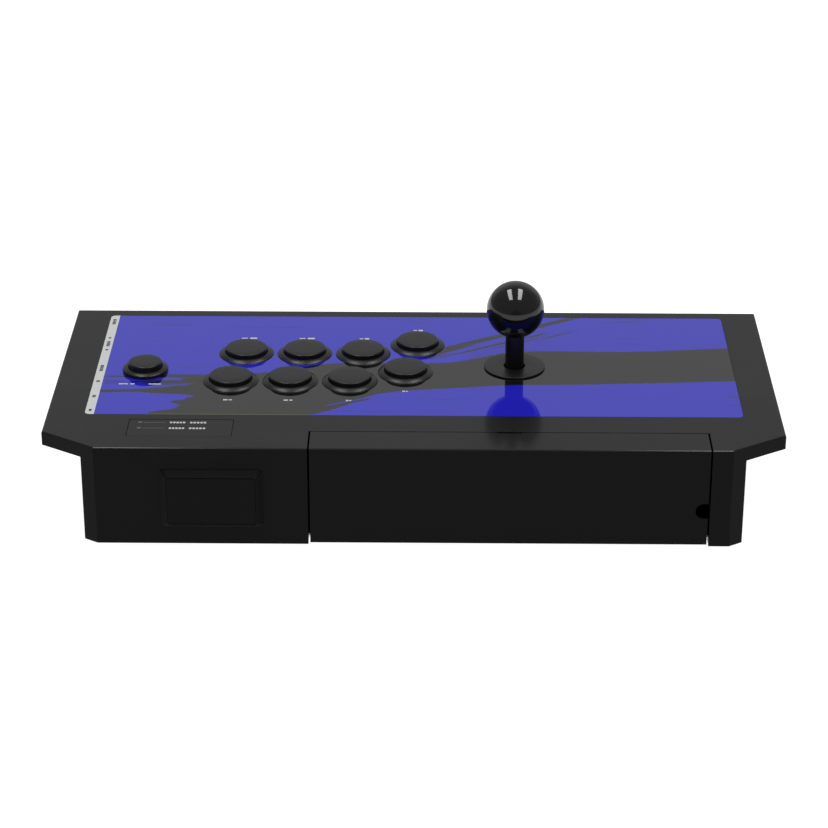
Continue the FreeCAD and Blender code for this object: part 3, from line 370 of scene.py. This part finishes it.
def brushed_ink(finish, spot, x, y):
    """Where the charcoal is: the wide band, its dry end and the strokes around it."""
    film_left, film_right = film_low[0] / MM, film_high[0] / MM
    along = (x - film_left) / (film_right - film_left)

    def edge(points):
        """A brush edge: how far to the rear it lies, as a curve of the distance along."""
        places = [((px - film_left) / (film_right - film_left),
                   (py + EDGE_REACH) / (2 * EDGE_REACH)) for px, py in points]
        curve = finish.node("ShaderNodeFloatCurve", {"points": places}, Value=along)
        return curve * (2 * EDGE_REACH) + (ART_Y - EDGE_REACH)

    bristle = finish.noise(finish.stretched(spot, (9.0, 420.0, 1.0)), 1.0, 3.0, 0.6)
    broad = finish.noise(finish.stretched(spot, (14.0, 70.0, 1.0)), 1.0, 2.0)
    ragged = (bristle - 0.5) * BRISTLE_WANDER + (broad - 0.5) * BRISTLE_WANDER
    behind_front = (y - edge(BRUSH_FRONT) + ragged * 0.5).rises(-0.6, 0.6)
    behind_rear = (y - edge(BRUSH_REAR) + ragged * 0.4).rises(-0.6, 0.6)
    # the dry end: how far to the right each part of the brush reached before it ran out
    ends = [((py - END_FRONT) / END_DEPTH, (px - END_NEAR) / END_REACH) for px, py in BRUSH_END]
    reach = finish.node("ShaderNodeFloatCurve", {"points": ends},
                        Value=(y - (ART_Y + END_FRONT)) / END_DEPTH) * END_REACH + END_NEAR
    beyond_end = (x - reach + (bristle - 0.5) * END_WANDER).rises(-0.8, 0.8)
    solid = behind_front * (1 - behind_rear) * (1 - beyond_end)
    # thin streaks run on to the pale strip, and one broad one reaches it
    streaked = (y - (ART_Y + 11.0)).within(-12.0, 11.0, 3.0) * x.within(118.0, 187.0, 6.0)
    streaks = streaked * (bristle * 0.8 + broad * 0.3 - (x - 118.0) * 0.0012).rises(0.50, 0.54)
    broad_line = y - (ART_Y + 21.6) - (x - 150.0) * 0.03 + ragged * 0.12
    broad_streak = broad_line.within(-2.1, 1.6, 0.4) * x.within(120.0, 188.5, 0.4)
    # a second pass of the brush beside the band's rear edge leaves a sliver of the ground
    beyond = y - x * 0.46 - (ART_Y + 17.3) + ragged * 0.1
    sliver = beyond.within(-0.8, 0.6, 0.3) * x.within(30.0, 52.0, 2.0)
    beside = beyond.within(0.8, 3.0, 0.4) * x.within(27.0, 56.0, 3.0)
    # fast diagonal strokes ahead of the lever: hairs along the slant, one of them heavy
    run = x * -SLANT_COS + y * -SLANT_SIN
    across = x * SLANT_SIN + y * -SLANT_COS
    slanted = finish.node("ShaderNodeCombineXYZ", {}, run * 0.012, across * 0.330, 0.0)
    hairs = finish.noise(slanted, 1.0, 2.0, 0.6)
    sweep = across.within(10.0, 29.0, 2.0) * run.within(22.0, 118.0, 10.0)
    heavy = across.within(25.5, 30.0, 0.6) * run.within(30.0, 135.0, 12.0)
    diagonal = sweep * hairs.rises(0.53, 0.57) | heavy * hairs.rises(0.36, 0.42)
    # hair-thin scratches of ink over the blue
    scratch = finish.noise(finish.stretched(spot, (7.0, 520.0, 1.0)), 1.0, 1.0).rises(0.665, 0.70)
    scratch = scratch * finish.noise(spot, 12.0).rises(0.45, 0.60) * 0.55
    inked = solid * (1 - sliver) | streaks | broad_streak | beside | diagonal | scratch
    return inked & 1.0


def artwork_film():
    """The printed film: brushed ink on blue, the ink lighter and olive along the rear edge, the
    strip.
    """
    finish = Finish("artwork_film", IOR=1.5)
    spot = finish.place()
    x, y = (part / MM for part in finish.parts(spot)[:2])
    ink = brushed_ink(finish, spot, x, y)
    blue = finish.mix(finish.noise(spot, 14.0, 3.0) * 0.22,
                      finish.mix(ink, FILM_BLUE, FILM_INK), FILM_BLUE_CLOUD)
    # within the last 0.9 mm of the rear edge the ink turns a lighter olive
    worn = (y - (film_high[1] / MM - 0.9)).rises(-0.3, 0.3) * ink * 0.8
    printed = finish.mix(worn, finish.mix(ink, blue, FILM_INK), FILM_REAR_EDGE_OLIVE)
    strip = (x - (film_high[0] / MM - STRIP_WIDTH)).rises(-0.05, 0.05)
    pale = finish.mix(finish.noise(spot, 60.0), FILM_PALE,
                      tuple(part * PALE_CLOUD for part in FILM_PALE))
    finish.drive("Base Color", finish.mix(strip, printed, pale))
    finish.drive("Roughness", 0.035 + finish.noise(spot, 35.0, 3.0) * 0.03)
    finish.drive("Normal", finish.bump(finish.noise(spot, 45.0, 1.0), 0.01 * MM, 0.15))
    return finish


paint(artwork_film(), "artwork_sheet")


# ---- Push buttons ------------------------------------------------------------------
# Thirty-millimetre class buttons and a smaller one: satin black moulded plastic, a ring
# that slopes down to the film and a flat-topped plunger that slides inside its barrel.
# Their sizes are in millimetres, with heights measured from the film.
PALER_WHERE_WORN = 1.35


def satin_plastic(name, colour, rough, **shader):
    """Smooth moulded plastic, a little paler and duller where fingers have worn it."""
    finish = Finish(name, **shader)
    spot = finish.place()
    fine = finish.noise(spot, 2600.0, 2.0)
    worn = finish.noise(spot, 120.0, 3.0)
    paler = tuple(part * PALER_WHERE_WORN for part in colour)
    finish.drive("Base Color", finish.mix(worn, colour, paler))
    finish.drive("Roughness", rough + worn * 0.08)
    finish.drive("Normal", finish.bump(fine, 0.012 * MM, 0.4))
    return finish


def eased_outline(corners, rounding, steps=4):
    """A (radius, height, ease) outline whose corners are rounded where ease is not 0."""
    places = []
    for index, (r, h, ease) in enumerate(corners):
        if not ease:
            places.append((r, h))
            continue
        here = Vector((r, h))
        before = Vector(corners[index - 1][:2]) - here
        after = Vector(corners[(index + 1) % len(corners)][:2]) - here
        reach = min(ease * rounding, before.length * 0.49, after.length * 0.49)
        start, stop = here + before.normalized() * reach, here + after.normalized() * reach
        for step in range(steps + 1):
            t = step / steps
            places.append(tuple(start * (1 - t) ** 2 + here * (2 * t * (1 - t)) + stop * t ** 2))
    return places


def lathe(mesh, centre, outline, slices=96):
    """Spin a closed outline, in millimetres, about the upright line through the centre."""
    rings = []
    for turn in range(slices):
        angle = 2 * math.pi * turn / slices
        across = Vector((math.cos(angle), math.sin(angle), 0))
        rings.append([mesh.verts.new(centre + (across * r + Vector((0, 0, h))) * MM)
                      for r, h in outline])
    count = len(outline)
    for turn in range(slices):
        ring, beside = rings[turn], rings[(turn + 1) % slices]
        for index in range(count):
            after = (index + 1) % count
            mesh.faces.new((ring[index], beside[index], beside[after], ring[after]))


def block(mesh, low, high):
    """A plain box between two corners, in metres."""
    corners = [mesh.verts.new((x, y, z)) for x in (low[0], high[0]) for y in (low[1], high[1])
               for z in (low[2], high[2])]
    for face in ((0, 1, 3, 2), (4, 6, 7, 5), (0, 4, 5, 1), (2, 3, 7, 6), (0, 2, 6, 4), (1, 5, 7, 3)):
        mesh.faces.new([corners[index] for index in face])


SAME_PLACE, SHARP_ANGLE = 0.002 * MM, math.radians(35.0)


def finished(name, mesh, finish, slot_name, body, *nodes):
    """Close a mesh into a piece that rides on a body and stands for some CAD nodes."""
    bmesh.ops.remove_doubles(mesh, verts=mesh.verts, dist=SAME_PLACE)
    bmesh.ops.dissolve_degenerate(mesh, edges=mesh.edges, dist=SAME_PLACE)
    bmesh.ops.recalc_face_normals(mesh, faces=mesh.faces)
    data = bpy.data.meshes.new(name)
    mesh.to_mesh(data)
    mesh.free()
    data.shade_smooth()
    data.set_sharp_from_angle(angle=SHARP_ANGLE)
    data.materials.append(finish.material)
    item = bpy.data.objects.new(name, data)
    scene.collection.objects.link(item)
    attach(item, body)
    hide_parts(*nodes)


def middle(node):
    """The middle of a CAD node, at the height of its top."""
    low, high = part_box(node)
    return Vector(((low[0] + high[0]) / 2, (low[1] + high[1]) / 2, high[2]))


button_plastic = satin_plastic("button_plastic", (0.0048, 0.0047, 0.0046), 0.28,
                               Specular_IOR_Level=0.24)
film_top = film_high[2]
# a radius so near the axis that the outline's end closes to a point there
AXIS = 0.001
CAP_RADIUS, CAP_RISE = 12.75, 4.6
SMALL_RADIUS, SMALL_RISE = 10.1, 6.5
CAP_SKIRT, CAP_WALL, CAP_ROOF, CAP_EASE = -8.0, 1.8, 2.4, 0.5
STEM_RADIUS, STEM_FOOT = 2.2, -17.4
RING_RADIUS, RING_RISE, RING_EDGE = 16.9, 1.8, 0.3
SMALL_RING, SMALL_RING_RISE, SMALL_RING_EDGE = 13.8, 3.0, 1.9
HOLE, SMALL_HOLE, HOLE_FREE, BORE_FREE, RING_SEAT = 15.0, 12.0, 0.2, 0.25, 0.05
BARREL_FLOOR, BARREL_FOOT, STEM_HOLE = -14.0, -18.0, 2.6
# the two cheeks that hold the switch under the barrel
CHEEK_INNER, CHEEK_OUTER, CHEEK_HALF = 3.35, 5.0, 11.6
CHEEK_TOP, CHEEK_FOOT = -17.9, -29.0


def on_film(node):
    """The middle of a button, at the height of the film."""
    place = middle(node)
    place.z = film_top
    return place


def make_cap(node, radius, rise):
    """A plunger: a slightly crowned cap with a small bright edge, and a stem below."""
    mesh = bmesh.new()
    inner, roof = radius - CAP_WALL, rise - CAP_ROOF
    crown = [(AXIS, rise, 0), (radius * 0.6, rise - 0.07, 1), (radius - 0.45, rise - 0.22, 1),
             (radius - 0.02, rise - 0.62, 1)]
    skirt = [(radius, CAP_SKIRT, 0), (inner, CAP_SKIRT, 0), (inner, roof, 0)]
    stem = [(STEM_RADIUS, roof, 0), (STEM_RADIUS, STEM_FOOT, 0), (AXIS, STEM_FOOT, 0)]
    lathe(mesh, on_film(node), eased_outline(crown + skirt + stem, CAP_EASE))
    finished(node + "_cap", mesh, button_plastic, "button_plastic", node, node)


def make_ring(mesh, place, radius, bore, rise, edge, hole):
    """A barrel with its sloping ring, its floor and the switch's cradle."""
    half, barrel = (bore + radius) / 2, hole - HOLE_FREE
    slope = [(bore, rise - 0.25, 0), (bore + 0.35, rise, 1), (half, rise * 0.72 + edge * 0.28, 2),
             (radius - 0.3, edge + 0.15, 2), (radius, edge - 0.2, 1), (radius, RING_SEAT, 0)]
    walls = [(barrel, RING_SEAT, 0), (barrel, BARREL_FOOT, 0), (STEM_HOLE, BARREL_FOOT, 0),
             (STEM_HOLE, BARREL_FLOOR, 0), (bore, BARREL_FLOOR, 0)]
    lathe(mesh, place, eased_outline(slope + walls, CAP_EASE))
    for side in (-1, 1):
        left, right = sorted((side * CHEEK_INNER, side * CHEEK_OUTER))
        block(mesh, place + Vector((left, -CHEEK_HALF, CHEEK_FOOT)) * MM,
              place + Vector((right, CHEEK_HALF, CHEEK_TOP)) * MM)


buttons = [row + "_button_" + str(index) for row in ("lower", "upper") for index in (1, 2, 3, 4)]
rings = bmesh.new()
for button in buttons:
    make_cap(button, CAP_RADIUS, CAP_RISE)
    make_ring(rings, on_film(button), RING_RADIUS, CAP_RADIUS + BORE_FREE, RING_RISE, RING_EDGE,
              HOLE)
finished("button_rings", rings, button_plastic, "button_plastic", "root", "button_housings")
make_cap("options_button", SMALL_RADIUS, SMALL_RISE)
small_ring = bmesh.new()
make_ring(small_ring, on_film("options_button"), SMALL_RING, SMALL_RADIUS + BORE_FREE,
          SMALL_RING_RISE, SMALL_RING_EDGE, SMALL_HOLE)
finished("options_ring", small_ring, button_plastic, "button_plastic", "root", "options_housing")
paint(button_plastic, "share_button", "turbo_button", "left_stick_button", "right_stick_button",
      "home_button", "mode_switch_knob")


# ---- Lever top ---------------------------------------------------------------------
# Ball top: cast phenolic-type plastic, turned, drilled and polished. Under it the shaft
# cover is a thin turned tube, and the dust washer a flat nylon disc on the film.
BALL_RADIUS, BALL_FLAT, BALL_STEPS, FINE_SLICES = 17.5, 16.5, 60, 128
SOCKET, SOCKET_DEPTH, SOCKET_EASE = 4.78, -12.0, 0.3
THREAD, THREAD_TOP = 3.0, 5.0
TUBE_INNER, TUBE_OUTER, TUBE_EASE = 4.83, 5.7, 0.3
WASHER_INNER, WASHER_OUTER, WASHER_EASE = 6.5, 18.6, 0.4
ball_plastic = satin_plastic("ball_plastic", (0.0035, 0.0035, 0.0038), 0.03,
                             Specular_IOR_Level=0.45)
washer_plastic = satin_plastic("washer_plastic", (0.0060, 0.0060, 0.0057), 0.34,
                               Specular_IOR_Level=0.3)
ball_centre = middle("ball_top") - Vector((0, 0, BALL_RADIUS * MM))
lowest = math.asin(BALL_FLAT / BALL_RADIUS)
outline = []
for step in range(BALL_STEPS + 1):
    lift = math.pi / 2 - (math.pi / 2 + lowest) * step / BALL_STEPS
    outline.append((max(AXIS, BALL_RADIUS * math.cos(lift)), BALL_RADIUS * math.sin(lift)))
outline += [(SOCKET + SOCKET_EASE, -BALL_FLAT), (SOCKET, SOCKET_EASE - BALL_FLAT),
            (SOCKET, SOCKET_DEPTH), (THREAD, SOCKET_DEPTH), (THREAD, THREAD_TOP),
            (AXIS, THREAD_TOP)]
ball = bmesh.new()
lathe(ball, ball_centre, outline, FINE_SLICES)
finished("ball", ball, ball_plastic, "ball_plastic", "lever_top", "ball_top")


def under_ball(node):
    """The foot of a node on the lever's line, and how tall the node is in millimetres."""
    low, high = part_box(node)
    return Vector((ball_centre.x, ball_centre.y, low[2])), (high[2] - low[2]) / MM


foot, tall = under_ball("shaft_cover")
cover = bmesh.new()
lathe(cover, foot, eased_outline([(TUBE_INNER, 0, 0), (TUBE_OUTER, 0, 1), (TUBE_OUTER, tall, 1),
                                  (TUBE_INNER, tall, 0)], TUBE_EASE))
finished("shaft_tube", cover, button_plastic, "button_plastic", "lever_top", "shaft_cover")

foot, thick = under_ball("dust_washer")
washer = bmesh.new()
lathe(washer, foot, eased_outline([(WASHER_INNER, 0, 0), (WASHER_OUTER, 0, 1),
                                   (WASHER_OUTER, thick, 1), (WASHER_INNER, thick, 1)],
                                  WASHER_EASE), FINE_SLICES)
finished("washer_disc", washer, washer_plastic, "washer_plastic", "upper_washer", "dust_washer")
paint(washer_plastic, "lower_dust_washer")


# ---- Touch pad, window and lights ---------------------------------------------------
# The pad is a fine-grained pressed plate in its frame; the window is a thin smoked panel
# let into the top, with two frosted light pipes behind it.
pad_plastic = satin_plastic("pad_plastic", (0.0028, 0.0028, 0.0030), 0.42,
                            Specular_IOR_Level=0.06)
window_plastic = satin_plastic("window_plastic", (0.0050, 0.0050, 0.0053), 0.30,
                               Specular_IOR_Level=0.20)
light_pipe = satin_plastic("light_pipe", (0.035, 0.036, 0.035), 0.30)
paint(pad_plastic, "touchpad")
paint(window_plastic, "indicator_window")
paint(light_pipe, "indicator_lights")


# ---- Printed marks -----------------------------------------------------------------
# Plain dashes silk-screened in white and black ink where a console names its controls:
# beside each button, along the pale strip, and in the window. They say nothing.
INK_LIFT, INK_THIN = 0.03, 0.8


def scattered(name, dashes, finish):
    """A flat dash at each spot, with its own size, made by a small node group."""
    group = bpy.data.node_groups.new(name, "GeometryNodeTree")
    group.interface.new_socket("Geometry", in_out="INPUT", socket_type="NodeSocketGeometry")
    ink = group.interface.new_socket("Ink", in_out="INPUT", socket_type="NodeSocketMaterial")
    group.interface.new_socket("Geometry", in_out="OUTPUT", socket_type="NodeSocketGeometry")
    steps = [group.nodes.new(kind) for kind in (
        "NodeGroupInput", "GeometryNodeMeshCube", "GeometryNodeInputNamedAttribute",
        "GeometryNodeInstanceOnPoints", "GeometryNodeRealizeInstances",
        "GeometryNodeSetMaterial", "NodeGroupOutput")]
    start, cube, size, instances, realized, inked, end = steps
    size.data_type = "FLOAT_VECTOR"
    size.inputs["Name"].default_value = "size"
    for source, target in ((start.outputs["Geometry"], instances.inputs["Points"]),
                           (cube.outputs["Mesh"], instances.inputs["Instance"]),
                           (size.outputs["Attribute"], instances.inputs["Scale"]),
                           (instances.outputs["Instances"], realized.inputs["Geometry"]),
                           (realized.outputs["Geometry"], inked.inputs["Geometry"]),
                           (start.outputs["Ink"], inked.inputs["Material"]),
                           (inked.outputs["Geometry"], end.inputs["Geometry"])):
        group.links.new(source, target)
    points = bpy.data.meshes.new(name + "_points")
    points.from_pydata([spot for spot, extent in dashes], [], [])
    layer = points.attributes.new("size", "FLOAT_VECTOR", "POINT")
    for index, (spot, extent) in enumerate(dashes):
        layer.data[index].vector = extent
    maker = bpy.data.objects.new(name + "_maker", points)
    scene.collection.objects.link(maker)
    modifier = maker.modifiers.new("marks", "NODES")
    modifier.node_group = group
    modifier[ink.identifier] = finish.material
    shape = maker.evaluated_get(bpy.context.evaluated_depsgraph_get())
    data = bpy.data.meshes.new_from_object(shape)
    bpy.data.objects.remove(maker)
    data.name = name
    item = bpy.data.objects.new(name, data)
    scene.collection.objects.link(item)
    return item


def ink_finish(name, colour):
    """Screen ink: matt, a little uneven where the mesh of the screen was."""
    finish = Finish(name, Specular_IOR_Level=0.2)
    cover = finish.noise(finish.place(), 3200.0, 2.0)
    thin = tuple(part * INK_THIN for part in colour)
    finish.drive("Base Color", finish.mix(cover, colour, thin))
    finish.drive("Roughness", 0.5 + cover * 0.1)
    finish.drive("Normal", finish.bump(cover, 0.004 * MM, 0.3))
    return finish


white_dashes, black_dashes, faint_dashes = [], [], []


def dash(dashes, x, y, width, depth, top=film_top):
    """Add one dash: its middle and its size in millimetres, and what it is printed on."""
    dashes.append(((x * MM, y * MM, top), (width * MM, depth * MM, 2 * INK_LIFT * MM)))


# beside the buttons: (to the right, width, depth), ahead of one row and behind the other
AHEAD, BEHIND, NARROW = -22.8, 27.0, 0.62
LABELS = {"lower": ((-2.9, 4.4, 2.0), (2.6, 3.6, 1.2)),
          "upper": ((-1.7, 2.0, 1.3), (1.3, 2.6, 1.6))}
for button in buttons:
    spot = middle(button) / MM
    row = button.split("_")[0]
    narrow = NARROW if button.endswith(("1", "2")) else 1.0
    for across, width, depth in LABELS[row]:
        dash(white_dashes, spot.x + across * narrow, spot.y + (AHEAD if row == "lower" else BEHIND),
             width * narrow, depth)
SMALL_BEHIND, SMALL_DEPTH = 19.6, 1.3
spot = middle("options_button") / MM
for across, width in ((11.5, 5.5), (6.0, 2.5), (-7.5, 7.5)):
    dash(white_dashes, spot.x + across, spot.y + SMALL_BEHIND, width, SMALL_DEPTH)

# down the pale strip: (to the rear, length, how many letters' worth of dashes)
STRIP_LINE = film_high[0] / MM - 2.8
WORD_WIDTH, DOT_WIDTH, INKED = 2.1, 1.6, 0.72
for y, length, parts in ((-80, 8.5, 4), (-55, 1.8, 1), (-46, 8.0, 4), (-37, 1.8, 1), (-10, 9.0, 5),
                         (9, 3.0, 2), (30, 3.6, 2), (49, 2.6, 1)):
    step = length / parts
    for index in range(parts):
        dash(black_dashes, STRIP_LINE, y + ART_Y - length / 2 + step * (index + 0.5),
             WORD_WIDTH if parts > 1 else DOT_WIDTH, step * INKED if parts > 1 else step)

# in the window: a faint line and two words of five dashes beside each light
LIGHT_INSET, LINE_X, LINE_WIDTH, LINE_DEPTH, WORD_DEPTH, LETTERS = 2.0, 151.5, 13.0, 0.5, 1.9, 5
window_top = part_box("indicator_window")[1][2]
lights_low, lights_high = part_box("indicator_lights")
for y in (lights_low[1] / MM + LIGHT_INSET, lights_high[1] / MM - LIGHT_INSET):
    dash(faint_dashes, LINE_X, y, LINE_WIDTH, LINE_DEPTH, window_top)
    for x, width in ((138.0, 9.5), (126.0, 10.0)):
        pitch = width / LETTERS
        for index in range(LETTERS):
            dash(white_dashes, x + (index - LETTERS // 2) * pitch, y, pitch * INKED, WORD_DEPTH,
                 window_top)

for name, dashes, ink in (
        ("white_marks", white_dashes, ink_finish("white_ink", (0.42, 0.42, 0.42))),
        ("black_marks", black_dashes, ink_finish("black_ink", (0.012, 0.012, 0.013))),
        ("faint_lines", faint_dashes, ink_finish("faint_ink", (0.09, 0.09, 0.09)))):
    marks = scattered(name, dashes, ink)
    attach(marks, "root")
